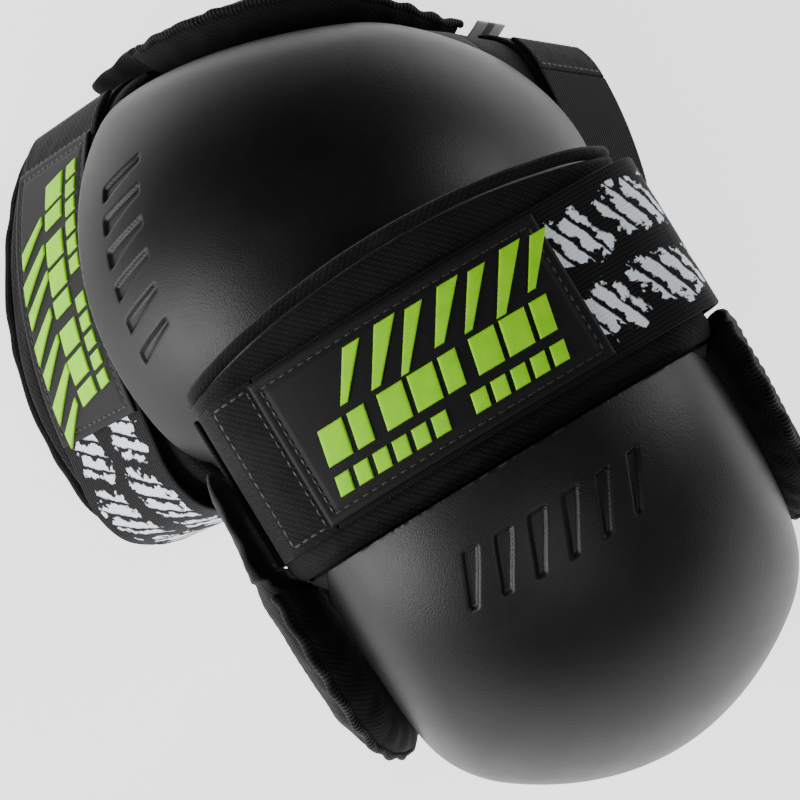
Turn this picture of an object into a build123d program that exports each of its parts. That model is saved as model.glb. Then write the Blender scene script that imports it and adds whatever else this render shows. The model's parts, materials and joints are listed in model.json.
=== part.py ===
from build123d import *
import math
import os

os.makedirs("parts", exist_ok=True)

# A pair of hard-cap knee pads, left and right, in millimetres.
# Each pad is a bent sleeve: a thigh part, a knee bend about the lateral axis
# through the pad's origin, and a shin part.  In a pad's own frame X is lateral,
# Y points towards the thigh and Z points out of the knee.

# Fold of a pad: how far the thigh and the shin slope away from the knee
THIGH_SLOPE = 54.0
SHIN_SLOPE = 50.0

# Layers of the padding
COVER = 1.0
PADDING = 12.0
SLEEVE = 2.0
LINER = 1.0
SEAM = 0.1

# Hard cap: a dome swept about an axis raised above the bend axis
CAP_RISE = 7.0
CAP_HALF_WIDTH = 69.0
CAP_BOW = 90.0
CAP_CORNER = 38.0
CAP_WALL = 3.0
CAP_RIM = 42.0
CAP_TOP_GAP = 0.6
CAP_KNEE_CLEAR = 0.5

# Tube section: a bowed front, flat rear, rounded corners, measured from the bend axis
THIGH_HALF_WIDTH = 73.0
KNEE_HALF_WIDTH = CAP_HALF_WIDTH - CAP_WALL - CAP_KNEE_CLEAR
FRONT = 86.0
REAR = 30.0
BOW = 150.0
FRONT_CORNER = 26.0
REAR_CORNER = 16.0
LEG_BOW = 260.0
LEG_CORNER = 22.0
FOAM_INSET = 12.5
FOAM_LOW = REAR + 20.0
COVER_LOW = REAR + REAR_CORNER

# Depth of the cap over the knee, with its foam and its hook-and-loop fixing
CAP_DEPTH = 18.0
CAP_RADIUS = FRONT + CAP_DEPTH - CAP_RISE
HOOK_PAD = 1.5
HOOK_PAD_SIZE = (70.0, 32.0)
HOOK_PAD_PITCH = 50.0
LOOP_PANEL = 1.2
LOOP_PANEL_MARGIN = 5.0
SHELL_FOAM_HALF_WIDTH = CAP_HALF_WIDTH - 8.0
SHELL_FOAM_RIM = CAP_RIM + 2.0

# Upper strap: 2 inch elastic that closes over the thigh with a hook tab
STRAP = 1.8
STRAP_CLEAR = 0.3
UPPER_STRAP_WIDTH = 50.8
UPPER_STRAP_START = 8.0
UPPER_STRAP_STOP = UPPER_STRAP_START + UPPER_STRAP_WIDTH
UPPER_STRAP_END = THIGH_HALF_WIDTH - 21.0
UPPER_TAB_END = THIGH_HALF_WIDTH - 5.0
STRAP_HINGE = REAR + 25.2
STRAP_HINGE_GAP = 0.6
LOOP_START = 20.0
LOOP_LOW = REAR + 30.0
PATCH = 1.6
PATCH_SIZE = (96.0, 48.0)
PATCH_FROM = -UPPER_STRAP_END - 2.0

# Fold line between the thigh part and the knee part
FOLD_GAP = 0.6

# Arched, piped top edge of the thigh padding, just past the strap
ARCH_SIDE = UPPER_STRAP_STOP + 1.2
ARCH_CREST = ARCH_SIDE + 12.0
ARCH_OVERHANG = 8.0
PIPING = 4.0
PIPING_PROUD = 0.6
PIPING_DEPTH = 3.6
THIGH_LENGTH = UPPER_STRAP_STOP + 5.2

# Lower strap: 1.5 inch elastic that closes over the shin, clear of the cap's rim
CAP_RIM_REACH = math.sqrt(CAP_RADIUS**2 - (CAP_RIM - CAP_RISE) ** 2)
CAP_RIM_ALONG = CAP_RIM_REACH * math.cos(math.radians(SHIN_SLOPE))
CAP_RIM_ALONG = CAP_RIM_ALONG - CAP_RIM * math.sin(math.radians(SHIN_SLOPE))
LOWER_STRAP_WIDTH = 38.1
LOWER_STRAP_START = CAP_RIM_ALONG + 1.6
LOWER_STRAP_STOP = LOWER_STRAP_START + LOWER_STRAP_WIDTH
LOWER_STRAP_END = KNEE_HALF_WIDTH - 19.5
LOWER_TAB_END = KNEE_HALF_WIDTH - 5.5
SHIN_LENGTH = LOWER_STRAP_STOP + 0.3
SHIN_FOAM_LENGTH = SHIN_LENGTH - 6.0

# Side panels beside the cap
WING_CLEAR = 1.2
WING_THICKNESS = 10.8
WING_ROOT = KNEE_HALF_WIDTH - 0.9
WING_STEP = CAP_HALF_WIDTH + WING_CLEAR
WING_OUT = WING_STEP + WING_THICKNESS
WING_LOW = REAR + 3.0
WING_SHOULDER = CAP_RIM - 1.0
WING_TOP = WING_SHOULDER + 20.0
WING_CORNER = 3.0
WING_END = THIGH_SLOPE - 4.0
WING_SHIN = LOWER_STRAP_START - 5.6
BINDING_RADIUS = 2.2

# Hem cuff at the shin end, and the size tag on the rear strap
CUFF = 4.0
TAG_SIZE = (1.0, 14.0, 16.0)
TAG_HEIGHT = REAR + 17.0
TAG_ALONG = (LOWER_STRAP_START + LOWER_STRAP_STOP) / 2

# The right pad stands on its thigh and shin ends, which the floor trims flat
FLOOR_TRIM = 1.92
CUFF_REACH = (SHIN_LENGTH + SEAM + CUFF) * math.sin(math.radians(SHIN_SLOPE))
FLOOR = REAR * math.cos(math.radians(SHIN_SLOPE)) - CUFF_REACH + FLOOR_TRIM
RIGHT_AT = (-9.8, 54.8)

# The left pad leans the back of its thigh part on the right pad's cap
LEFT_AT = (28.7, -33.5)
LEFT_YAW = 27.0
LEFT_PITCH = 58.7
LEFT_ROLL = -9.7
REST_GAP = 0.6
REST_SETTLE = 5.8

BIG = 500.0
X_DIR = Vector(1, 0, 0)


def slope_vectors(slope, sign):
    """Direction along a straight part and its outward normal."""
    t = math.radians(sign * slope)
    along = Vector(0, math.cos(t), -math.sin(t)) * sign
    normal = Vector(0, math.sin(t), math.cos(t))
    return along, normal


THIGH_ALONG, THIGH_NORMAL = slope_vectors(THIGH_SLOPE, 1)
SHIN_ALONG, SHIN_NORMAL = slope_vectors(SHIN_SLOPE, -1)


def tube(half_width):
    """Outer section of the padded tube."""
    return (half_width, FRONT, REAR, BOW, FRONT_CORNER, REAR_CORNER)


def leg(half_width):
    """Outer section of the sleeve, inside the padding."""
    inset = COVER + SEAM
    return (half_width - inset, FRONT - PADDING, REAR + SEAM, LEG_BOW, LEG_CORNER, REAR_CORNER - 1)


def section(spec, off=0.0):
    """Closed section, X lateral and Y outward, moved outwards by off."""
    half, front, rear, bow, corner, heel = [
        value + sign * off for value, sign in zip(spec, (1, 1, -1, 1, 1, 1))
    ]
    centre = front - bow
    inset = half - corner
    lean = math.asin(inset / (bow - corner))
    shoulder = centre + (bow - corner) * math.cos(lean)
    crown = (bow * math.sin(lean), centre + bow * math.cos(lean))
    half_lean = math.radians(45) + lean / 2
    haunch = (inset + corner * math.sin(half_lean), shoulder + corner * math.cos(half_lean))
    side = (half, shoulder)
    foot = (half, rear + heel)
    turn = heel * math.sqrt(0.5)
    toe = (half - heel + turn, rear + heel - turn)
    sole = (half - heel, rear)

    def left(point):
        return (-point[0], point[1])

    edges = [
        ThreePointArc(left(crown), (0, front), crown),
        ThreePointArc(crown, haunch, side),
        Line(side, foot),
        ThreePointArc(foot, toe, sole),
        Line(sole, left(sole)),
        ThreePointArc(left(sole), left(toe), left(foot)),
        Line(left(foot), left(side)),
        ThreePointArc(left(side), left(haunch), left(crown)),
    ]
    return make_face(edges)


def ring(spec, outer, inner):
    """Wall between two offsets of a section."""
    return section(spec, outer) - section(spec, inner)


def window(x_low, x_high, r_low, r_high):
    """Rectangle that keeps one part of a section."""
    face = Rectangle(x_high - x_low, r_high - r_low)
    return Pos((x_low + x_high) / 2, (r_low + r_high) / 2) * face


def along_part(face, vectors, start, end):
    """Extrudes a section along a straight part."""
    along, normal = vectors
    plane = Plane(origin=along * start, x_dir=X_DIR, z_dir=X_DIR.cross(normal))
    return extrude(plane * face, amount=end - start, dir=along)


def thigh(face, start, end):
    return along_part(face, (THIGH_ALONG, THIGH_NORMAL), start, end)


def shin(face, start, end):
    return along_part(face, (SHIN_ALONG, SHIN_NORMAL), start, end)


def bend(face, thigh_end=THIGH_SLOPE, shin_end=SHIN_SLOPE, rise=0.0):
    """Turns a section about the lateral axis, from the thigh end to the shin end."""
    t = math.radians(thigh_end)
    outward = Vector(0, math.sin(t), math.cos(t))
    plane = Plane(origin=(0, 0, rise), x_dir=X_DIR, z_dir=X_DIR.cross(outward))
    axis = Axis((0, 0, rise), (1, 0, 0))
    return revolve(plane * face, axis=axis, revolution_arc=thigh_end + shin_end)


def beyond(plane):
    """Half space on the side that a plane faces."""
    return plane * Pos(0, 0, BIG / 2) * Box(BIG, BIG, BIG)


def arch(extra=0.0):
    """Prism under the arched top edge of the thigh padding."""
    side = ARCH_SIDE + extra
    crest = ARCH_CREST + extra
    half = THIGH_HALF_WIDTH + ARCH_OVERHANG
    edges = [
        Line((-half, 0), (half, 0)),
        Line((half, 0), (half, side)),
        ThreePointArc((half, side), (0, crest), (-half, side)),
        Line((-half, side), (-half, 0)),
    ]
    plane = Plane(origin=(0, 0, 0), x_dir=X_DIR, z_dir=THIGH_NORMAL)
    return extrude(plane * make_face(edges), amount=BIG / 2)


def knee_dome(off):
    """Section of the cap's dome moved by off, open towards the knee."""
    spec = (CAP_HALF_WIDTH, CAP_RADIUS, REAR / 2, CAP_BOW, CAP_CORNER, REAR_CORNER)
    return section(spec, off)


def dome_shell(outer, inner, low=REAR):
    """Turned wall between two offsets of the dome, inside the knee side of the fold."""
    face = knee_dome(outer)
    if inner is not None:
        face = face - knee_dome(inner)
    face = face & window(-BIG, BIG, low, BIG)
    body = bend(face, THIGH_SLOPE + 10, 82.0, CAP_RISE)
    fold = Plane(origin=THIGH_ALONG * -CAP_TOP_GAP, x_dir=X_DIR, z_dir=THIGH_ALONG * -1)
    return body & beyond(fold)


def hard_cap():
    shell = dome_shell(0.0, -CAP_WALL)
    return shell & beyond(Plane.XY.offset(CAP_RIM))


def hook_pads():
    """Two hook pads on the inside of the cap, across its crown."""
    wall = dome_shell(-CAP_WALL - SEAM, -CAP_WALL - SEAM - HOOK_PAD)
    pads = Part()
    for tilt in (-1, 1):
        angle = tilt * HOOK_PAD_PITCH / 2 / CAP_RADIUS
        place = Pos(0, 0, CAP_RISE) * Rot(math.degrees(-angle), 0, 0) * Pos(0, 0, CAP_RADIUS)
        pads += wall & place * Box(HOOK_PAD_SIZE[0], HOOK_PAD_SIZE[1], CAP_RADIUS)
    return pads


def knee_loop():
    """Loop panel over the knee foam, facing the cap's hook pads."""
    outer = -CAP_WALL - 2 * SEAM - HOOK_PAD
    wall = dome_shell(outer, outer - LOOP_PANEL)
    size = (HOOK_PAD_SIZE[0] + 2 * LOOP_PANEL_MARGIN, HOOK_PAD_PITCH + HOOK_PAD_SIZE[1] + 2 * LOOP_PANEL_MARGIN)
    place = Pos(0, 0, CAP_RADIUS)
    return wall & place * Box(size[0], size[1], CAP_RADIUS)


def shell_foam():
    """Foam that fills the cap down to the knee cover."""
    outer = -CAP_WALL - 3 * SEAM - HOOK_PAD - LOOP_PANEL
    body = dome_shell(outer, None)
    body = body & beyond(Plane.XY.offset(SHELL_FOAM_RIM))
    body = body & Box(2 * SHELL_FOAM_HALF_WIDTH, BIG, BIG)
    hollow = section(tube(KNEE_HALF_WIDTH), SEAM)
    body = body - bend(hollow, THIGH_SLOPE + 5)
    return body - shin(hollow, 0, SHIN_LENGTH)


def padding(half_width):
    """Crescent of foam between the cover and the sleeve."""
    face = section(tube(half_width), -COVER - SEAM) - section(leg(half_width), SEAM)
    reach = half_width - FOAM_INSET
    return face & window(-reach, reach, FOAM_LOW, BIG)


def cover(half_width):
    """Fabric over the padding, down both sides."""
    return ring(tube(half_width), 0.0, -COVER) & window(-BIG, BIG, COVER_LOW, BIG)


def sleeve(half_width):
    """Knit sleeve round the leg."""
    return ring(leg(half_width), 0.0, -SLEEVE)


def lining(half_width):
    """Soft lining inside the front of the sleeve."""
    face = ring(leg(half_width), -SLEEVE - SEAM, -SLEEVE - SEAM - LINER)
    reach = half_width - FOAM_INSET
    return face & window(-reach, reach, FOAM_LOW, BIG)


def rear_strap(half_width):
    """Elastic round the back, as far as the strap hinge on each side."""
    face = ring(tube(half_width), SEAM + STRAP, SEAM)
    return face & window(-BIG, BIG, 0, STRAP_HINGE - STRAP_HINGE_GAP)


def front_layer(half_width, x_low, x_high):
    """Strap layer over the front, from the strap hinge on the +X side."""
    low = SEAM + LOOP_PANEL + STRAP_CLEAR
    face = ring(tube(half_width), low + STRAP, low)
    return face & window(x_low, x_high, STRAP_HINGE + STRAP_HINGE_GAP, BIG)


def loop_layer(half_width):
    """Loop panel under the free end of a strap."""
    face = ring(tube(half_width), SEAM + LOOP_PANEL, SEAM)
    return face & window(-BIG, -LOOP_START, LOOP_LOW, BIG)


def wing_outline(off):
    """Section of a side panel on the +X side, moved inwards by off."""
    points = [
        (WING_ROOT + off, WING_LOW + off),
        (WING_OUT - off, WING_LOW + off),
        (WING_OUT - off, WING_TOP - off),
        (WING_STEP + off, WING_TOP - off),
        (WING_STEP + off, WING_SHOULDER - off),
        (WING_ROOT + off, WING_SHOULDER - off),
    ]
    face = make_face(Polyline(*points, close=True))
    outer = [v for v in face.vertices() if v.X > WING_STEP + WING_CORNER + off]
    return fillet(outer, WING_CORNER - off)


def wing_run(face):
    """Side panel run: round the bend and down the shin."""
    return bend(face, WING_END) + shin(face, 0, WING_SHIN)


def binding_face():
    centre = ((WING_STEP + WING_OUT) / 2, WING_TOP + SEAM + BINDING_RADIUS)
    return Pos(*centre) * Circle(BINDING_RADIUS)


def both_sides(part):
    return part + part.mirror(Plane.YZ)


def size_tag():
    """Small label that stands on the lower rear strap, on the free-end side."""
    out = KNEE_HALF_WIDTH + 2 * SEAM + STRAP
    face = window(-out - TAG_SIZE[0], -out, TAG_HEIGHT - TAG_SIZE[1] / 2, TAG_HEIGHT + TAG_SIZE[1] / 2)
    return shin(face, TAG_ALONG - TAG_SIZE[2] / 2, TAG_ALONG + TAG_SIZE[2] / 2)


def pad_parts():
    """All pieces of one pad in its own frame."""
    thigh_tube = THIGH_HALF_WIDTH
    knee_tube = KNEE_HALF_WIDTH
    upper = (UPPER_STRAP_START, UPPER_STRAP_STOP)
    lower = (LOWER_STRAP_START, LOWER_STRAP_STOP)
    under_arch = arch()
    piping_face = ring(tube(thigh_tube), PIPING_PROUD, -PIPING_DEPTH)
    piping_face = piping_face & window(-BIG, BIG, COVER_LOW, BIG)
    piping_face = piping_face - section(leg(thigh_tube), SEAM)
    piping_reach = ARCH_CREST + SEAM + PIPING + 1
    patch_low = SEAM + LOOP_PANEL + STRAP_CLEAR + STRAP + SEAM
    patch_face = ring(tube(thigh_tube), patch_low + PATCH, patch_low)
    patch_face = patch_face & window(PATCH_FROM, PATCH_FROM + PATCH_SIZE[0], FOAM_LOW, BIG)
    patch_start = UPPER_STRAP_START + (UPPER_STRAP_WIDTH - PATCH_SIZE[1]) / 2
    wing_cover = wing_outline(0.0) - wing_outline(COVER)
    wing_core = wing_outline(COVER + SEAM)
    wing = wing_run(wing_cover)
    cuff_face = section(tube(knee_tube)) - section(leg(knee_tube), -SLEEVE)
    parts = {
        "cap": hard_cap(),
        "cap_hook_pads": hook_pads(),
        "knee_loop_panel": knee_loop(),
        "knee_shell_foam": shell_foam(),
        "knee_foam": bend(padding(knee_tube)),
        "knee_cover": bend(cover(knee_tube)),
        "side_panel_lateral": wing,
        "side_panel_medial": wing.mirror(Plane.YZ),
        "side_foams": both_sides(wing_run(wing_core)),
        "edge_bindings": both_sides(wing_run(binding_face())),
        "knee_liner": bend(lining(knee_tube), THIGH_SLOPE - 4, SHIN_SLOPE - 4),
        "knee_sleeve": bend(sleeve(knee_tube)) + shin(sleeve(knee_tube), 0, SHIN_LENGTH),
        "shin_foam": shin(padding(knee_tube), SEAM, SHIN_FOAM_LENGTH),
        "shin_cover": shin(cover(knee_tube), SEAM, SHIN_LENGTH),
        "shin_cuff": shin(cuff_face, SHIN_LENGTH + SEAM, SHIN_LENGTH + SEAM + CUFF),
        "lower_strap_rear": shin(rear_strap(knee_tube), *lower),
        "lower_loop_panel": shin(loop_layer(knee_tube), *lower),
        "size_tag": size_tag(),
        "thigh_foam": thigh(padding(thigh_tube), FOLD_GAP, piping_reach) & under_arch,
        "thigh_cover": thigh(cover(thigh_tube), FOLD_GAP, piping_reach) & under_arch,
        "thigh_piping": (thigh(piping_face, ARCH_SIDE / 2, BIG / 4) & arch(SEAM + PIPING)) - arch(SEAM),
        "thigh_sleeve": thigh(sleeve(thigh_tube), FOLD_GAP, THIGH_LENGTH),
        "upper_strap_rear": thigh(rear_strap(thigh_tube), *upper),
        "upper_loop_panel": thigh(loop_layer(thigh_tube), *upper),
        "upper_strap_front": thigh(
            front_layer(thigh_tube, -UPPER_STRAP_END, BIG), *upper
        ),
        "upper_hook_tab": thigh(
            front_layer(thigh_tube, -UPPER_TAB_END, -UPPER_STRAP_END - SEAM), *upper
        ),
        "upper_patch": thigh(patch_face, patch_start, patch_start + PATCH_SIZE[1]),
        "lower_strap_front": shin(
            front_layer(knee_tube, -LOWER_STRAP_END, BIG), *lower
        ),
        "lower_hook_tab": shin(
            front_layer(knee_tube, -LOWER_TAB_END, -LOWER_STRAP_END - SEAM), *lower
        ),
    }
    above = beyond(Plane.XY.offset(FLOOR))
    for name in ("shin_cuff", "thigh_sleeve", "lower_strap_rear", "upper_strap_rear", "knee_sleeve"):
        parts[name] = parts[name] & above
    return parts


LEFT_LEAN = Rot(0, 0, LEFT_YAW) * Rot(LEFT_PITCH, 0, 0) * Rot(0, LEFT_ROLL, 0)


def left_height():
    """Height at which the left thigh's back strap is REST_GAP off the right cap's dome.

    The dome is a ring surface: its reach along a unit direction n is the bow radius,
    plus the ring radius times the part of n across the lateral axis, plus the rise.
    The thigh's flat back ends before the point it would touch, so the pad settles lower.
    """
    tip = LEFT_LEAN * Pos(THIGH_NORMAL.X, THIGH_NORMAL.Y, THIGH_NORMAL.Z)
    across, lateral, up = tip.position
    ring_radius = CAP_RADIUS - CAP_BOW
    reach = CAP_BOW + ring_radius * math.hypot(across, up) + CAP_RISE * up
    back = REAR - SEAM - STRAP
    shift = (LEFT_AT[0] - RIGHT_AT[0], LEFT_AT[1] - RIGHT_AT[1])
    level = reach + REST_GAP - REST_SETTLE - back - across * shift[0] - lateral * shift[1]
    return level / up - FLOOR


def placed(part, side):
    """Moves a piece from its pad's own frame to where that pad lies."""
    if side == "right":
        turned = part.mirror(Plane.YZ)
        return Pos(RIGHT_AT[0], RIGHT_AT[1], -FLOOR) * Rot(0, 0, 90) * turned
    return Pos(LEFT_AT[0], LEFT_AT[1], left_height()) * LEFT_LEAN * part


pad = pad_parts()
for side in ("right", "left"):
    for name, piece in pad.items():
        shape = placed(piece, side)
        shape.label = side + "_" + name
        export_step(shape, "parts/" + side + "_" + name + ".step")
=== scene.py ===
import json
import math

import bmesh
import bpy
import numpy as np
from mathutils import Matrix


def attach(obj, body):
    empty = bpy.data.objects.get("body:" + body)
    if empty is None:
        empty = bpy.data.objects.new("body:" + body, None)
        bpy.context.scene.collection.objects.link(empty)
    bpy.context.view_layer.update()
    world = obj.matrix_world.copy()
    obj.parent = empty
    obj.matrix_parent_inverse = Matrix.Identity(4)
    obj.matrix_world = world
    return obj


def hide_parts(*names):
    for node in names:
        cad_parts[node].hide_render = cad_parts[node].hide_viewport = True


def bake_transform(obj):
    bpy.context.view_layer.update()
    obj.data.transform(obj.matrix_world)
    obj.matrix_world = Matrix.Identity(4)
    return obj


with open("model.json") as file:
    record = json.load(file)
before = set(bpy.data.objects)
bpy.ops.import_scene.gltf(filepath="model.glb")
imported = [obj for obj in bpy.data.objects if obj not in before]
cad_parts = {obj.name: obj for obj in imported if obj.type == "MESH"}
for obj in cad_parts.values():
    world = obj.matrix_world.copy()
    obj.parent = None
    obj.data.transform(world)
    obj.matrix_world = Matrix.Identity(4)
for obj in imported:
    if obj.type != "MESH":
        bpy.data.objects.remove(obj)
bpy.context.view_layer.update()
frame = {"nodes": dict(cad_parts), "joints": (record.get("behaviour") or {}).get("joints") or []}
SIDES = ("right", "left")

# --------------------------------------
# Knit sleeve.  Each pad is built on a bent tube of neoprene faced with smooth
# jersey, pulled over the foot and squashed flat when nothing is in it.  It
# runs unbroken through the fold above the cap.
# --------------------------------------
THIGH_SLOPE = math.radians(54)
SHIN_SLOPE = math.radians(50)
FRONT = 86.0
FOLD_GAP = 0.6
BEND_RADIUS = 60.0
BEND = (THIGH_SLOPE + SHIN_SLOPE) * BEND_RADIUS
KNEE_HALF = 65.5
THIGH_HALF = 73.0
THIGH_LENGTH = 64.0
SHIN_LENGTH = 66.0
SLEEVE_WALL = 2.0
# A section is its front height, rear height, bow radius, corner radius and heel radius
PAD_SECTION = (FRONT, 30.0, 150.0, 26.0, 16.0)
LEG_SECTION = (FRONT - 12.0, 30.1, 260.0, 22.0, 15.0)
LEG_INSET = 1.1
FLOOR_CLEAR = 0.0001


def pad_frame(side):
    """Origin in mm and the lateral, thigh-ward and outward axes of one pad.

    The lateral axis is the fold's hinge, and the two strap hinges run along the
    thigh and along the shin, whose slopes then give the other two axes.
    """
    joints = {joint["name"]: joint for joint in frame["joints"]}
    fold_joint = joints[side + "_thigh_flex"]
    pivot = np.array(fold_joint["pos_m"])
    axes = []
    for key in ("_thigh_flex", "_upper_flap_open", "_lower_flap_open"):
        axis = np.array(joints[side + key]["axis"], float)
        other = "_lower_flap_open" if key == "_lower_flap_open" else "_upper_flap_open"
        reach = np.array(joints[side + other]["pos_m"]) - pivot
        axes.append(axis / np.linalg.norm(axis) * np.sign(axis @ reach))
    lateral, thigh_along, shin_along = axes
    mix = np.array([
        [math.cos(THIGH_SLOPE), -math.sin(THIGH_SLOPE)],
        [-math.cos(SHIN_SLOPE), -math.sin(SHIN_SLOPE)],
    ])
    thighward, outward = np.linalg.inv(mix) @ np.array([thigh_along, shin_along])
    thigh_normal = math.sin(THIGH_SLOPE) * thighward + math.cos(THIGH_SLOPE) * outward
    origin = pivot * 1000 - FRONT * thigh_normal - FOLD_GAP / 2 * thigh_along
    return origin, np.array([lateral, thighward, outward])


PADS = {side: pad_frame(side) for side in SIDES}


def mirrored(side):
    """True where a pad's axes are left-handed, so its faces turn the other way."""
    return np.linalg.det(PADS[side][1]) < 0


def place(side, x, y, z):
    """A pad's own millimetres as metres in the row frame, pressed flat where it meets the floor."""
    origin, axes = PADS[side]
    local = np.stack(np.broadcast_arrays(x, y, z), axis=-1)
    spot = (origin + local @ axes) / 1000
    spot[..., 2] = np.maximum(spot[..., 2], FLOOR_CLEAR)
    return spot


def step(value):
    """Smooth step: 0 below 0, 1 above 1, 3t^2 - 2t^3 between."""
    t = np.clip(value, 0, 1)
    return t * t * (3 - 2 * t)


def quarter(value):
    """Quarter circle: 0 below 0, 1 above 1, sqrt(1 - (1 - t)^2) between."""
    return np.sqrt(1 - (1 - np.clip(value, 0, 1)) ** 2)


def fold(side, x, r, q):
    """A point at lateral x and height r over the bend axis, q mm along the pad.

    q above 0 runs down the straight thigh, q from 0 to -BEND turns about the bend
    axis, and below that it runs down the straight shin.
    """
    x, r, q = np.broadcast_arrays(x, r, q)
    down = -BEND - q
    turn = THIGH_SLOPE + q / BEND_RADIUS
    y = np.where(q > 0, r * math.sin(THIGH_SLOPE) + q * math.cos(THIGH_SLOPE), r * np.sin(turn))
    z = np.where(q > 0, r * math.cos(THIGH_SLOPE) - q * math.sin(THIGH_SLOPE), r * np.cos(turn))
    shin = down > 0
    y = np.where(shin, -r * math.sin(SHIN_SLOPE) - down * math.cos(SHIN_SLOPE), y)
    z = np.where(shin, r * math.cos(SHIN_SLOPE) - down * math.sin(SHIN_SLOPE), z)
    return place(side, x, y, z)


def runs_round(half, front, rear, bow, corner, heel):
    """Lean and height of a section's shoulder, and where each of its five runs ends.

    The runs are a bow arc, a corner arc, a straight side, a heel arc and a flat rear.
    """
    lean = np.arcsin((half - corner) / (bow - corner))
    shoulder = front - bow + (bow - corner) * np.cos(lean)
    ends = [bow * lean]
    ends.append(ends[0] + corner * (math.pi / 2 - lean))
    ends.append(ends[1] + shoulder - rear - heel)
    ends.append(ends[2] + heel * math.pi / 2)
    ends.append(ends[3] + half - heel)
    return lean, shoulder, ends


def outline(a, half, front, rear, bow, corner, heel, off=0.0):
    """Tube section as (x, r) at arc length a from the middle of the front, moved out by off.

    An a past the middle of the rear comes round the other side.
    """
    a, half, off = np.broadcast_arrays(np.asarray(a, float), half, off)
    lean, shoulder, ends = runs_round(half, front, rear, bow, corner, heel)
    inset = half - corner
    a = (a + ends[4]) % (2 * ends[4]) - ends[4]
    s = np.abs(a)
    bow_turn = s / bow
    corner_turn = lean + (s - ends[0]) / corner
    heel_turn = (s - ends[2]) / heel
    zones = [s <= ends[0], s <= ends[1], s <= ends[2], s <= ends[3]]
    zero, one = np.zeros_like(s), np.ones_like(s)
    x = np.select(zones, [
        bow * np.sin(bow_turn), inset + corner * np.sin(corner_turn), half,
        half - heel + heel * np.cos(heel_turn)], ends[4] - s)
    r = np.select(zones, [
        front - bow + bow * np.cos(bow_turn), shoulder + corner * np.cos(corner_turn),
        shoulder - (s - ends[1]), rear + heel - heel * np.sin(heel_turn)], rear)
    out_x = np.select(zones, [np.sin(bow_turn), np.sin(corner_turn), one, np.cos(heel_turn)], zero)
    out_r = np.select(zones, [np.cos(bow_turn), np.cos(corner_turn), zero, -np.sin(heel_turn)], -one)
    return np.sign(a) * (x + off * out_x), r + off * out_r


def tube_half(q):
    """Half width of the padded tube: the knee's, widening to the thigh's at the fold."""
    return KNEE_HALF + (THIGH_HALF - KNEE_HALF) * step((q + 8) / 14)


def skin(side, a, q, off=0.0):
    """Outer face of the padded tube at arc a and length q, moved out by off."""
    x, r = outline(a, tube_half(q), *PAD_SECTION, off)
    return fold(side, x, r, q)


def leg(side, a, q, off=0.0):
    """Outer face of the knit sleeve inside the padding, moved out by off."""
    x, r = outline(a, tube_half(q) - LEG_INSET, *LEG_SECTION, off)
    return fold(side, x, r, q)


def leg_length(q):
    """Half the sleeve's girth: the arc from the middle of the front to the middle of the rear."""
    return runs_round(tube_half(q) - LEG_INSET, *LEG_SECTION)[2][4]


def piece(side, name, sheets, material):
    """Mesh object of grids of points, each given as points, UV in mm and which way it faces.

    Rows run along the pad and columns round it, so that a sheet with sign 1 faces out
    of the leg.  Points that meet are merged, which closes every seam and pole.
    """
    points, faces, corners = [], [], []
    count = 0
    for grid, uv, sign in sheets:
        shape = grid.shape[:-1]
        ids = count + np.arange(np.prod(shape)).reshape(shape)
        count += ids.size
        order = [(0, 0), (0, 1), (1, 1), (1, 0)]
        if (sign < 0) != mirrored(side):
            order.reverse()
        cuts = [(..., slice(i, shape[-2] - 1 + i), slice(j, shape[-1] - 1 + j)) for i, j in order]
        spread_uv = np.broadcast_to(uv, shape + (2,))
        points.append(grid.reshape(-1, 3))
        faces.append(np.stack([ids[cut].ravel() for cut in cuts], axis=1))
        corners.append(np.stack([spread_uv[(*cut, slice(None))].reshape(-1, 2) for cut in cuts], axis=1))
    mesh = bpy.data.meshes.new(side + "_" + name)
    mesh.from_pydata(np.concatenate(points).tolist(), [], np.concatenate(faces).tolist())
    layer = mesh.uv_layers.new(name="cloth")
    layer.data.foreach_set("uv", (np.concatenate(corners) / 100).astype(np.float32).ravel())
    joined = bmesh.new()
    joined.from_mesh(mesh)
    bmesh.ops.remove_doubles(joined, verts=joined.verts, dist=2e-6)
    joined.to_mesh(mesh)
    joined.free()
    mesh.polygons.foreach_set("use_smooth", np.ones(len(mesh.polygons), bool))
    mesh.materials.append(material)
    mesh.update()
    made = bpy.data.objects.new(side + "_" + name, mesh)
    bpy.context.collection.objects.link(made)
    return made


def spread(low, high, count, edge):
    """Positions from low to high, crowded over the last edge mm like a quarter circle's."""
    end = edge * (1 - np.cos(np.linspace(0, math.pi / 2, 6)[:-1]))
    return np.concatenate([low + end, np.linspace(low + edge, high - edge, count), high - end[::-1]])


INNER_CLOTH = 400.0


def slab(side, name, surface, a, q, outer, inner, edge, material):
    """Closed soft piece between two offsets of a surface.

    Over the last edge mm both faces run together along a quarter ellipse.  The inner
    face takes its pattern from further along the cloth, where nothing is printed.
    """
    if np.ndim(q) == 1:
        q, a = np.meshgrid(q, a, indexing="ij")
    inside = np.minimum.reduce([a - a[:, :1], a[:, -1:] - a, q - q[:1], q[-1:] - q])
    middle = (outer + inner) / 2
    half = (outer - inner) / 2 * quarter(inside / edge)
    uv = np.stack([a, q], axis=-1)
    sheets = [
        (surface(side, a, q, middle + half), uv, 1),
        (surface(side, a, q, middle - half), uv + np.array([INNER_CLOTH, 0.0]), -1),
    ]
    return piece(side, name, sheets, material)


def fix(made, side, body, nodes):
    """Rides a piece on its pad's body, in place of these CAD nodes."""
    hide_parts(*[side + "_" + node for node in nodes])
    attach(made, side + "_" + body)


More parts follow.
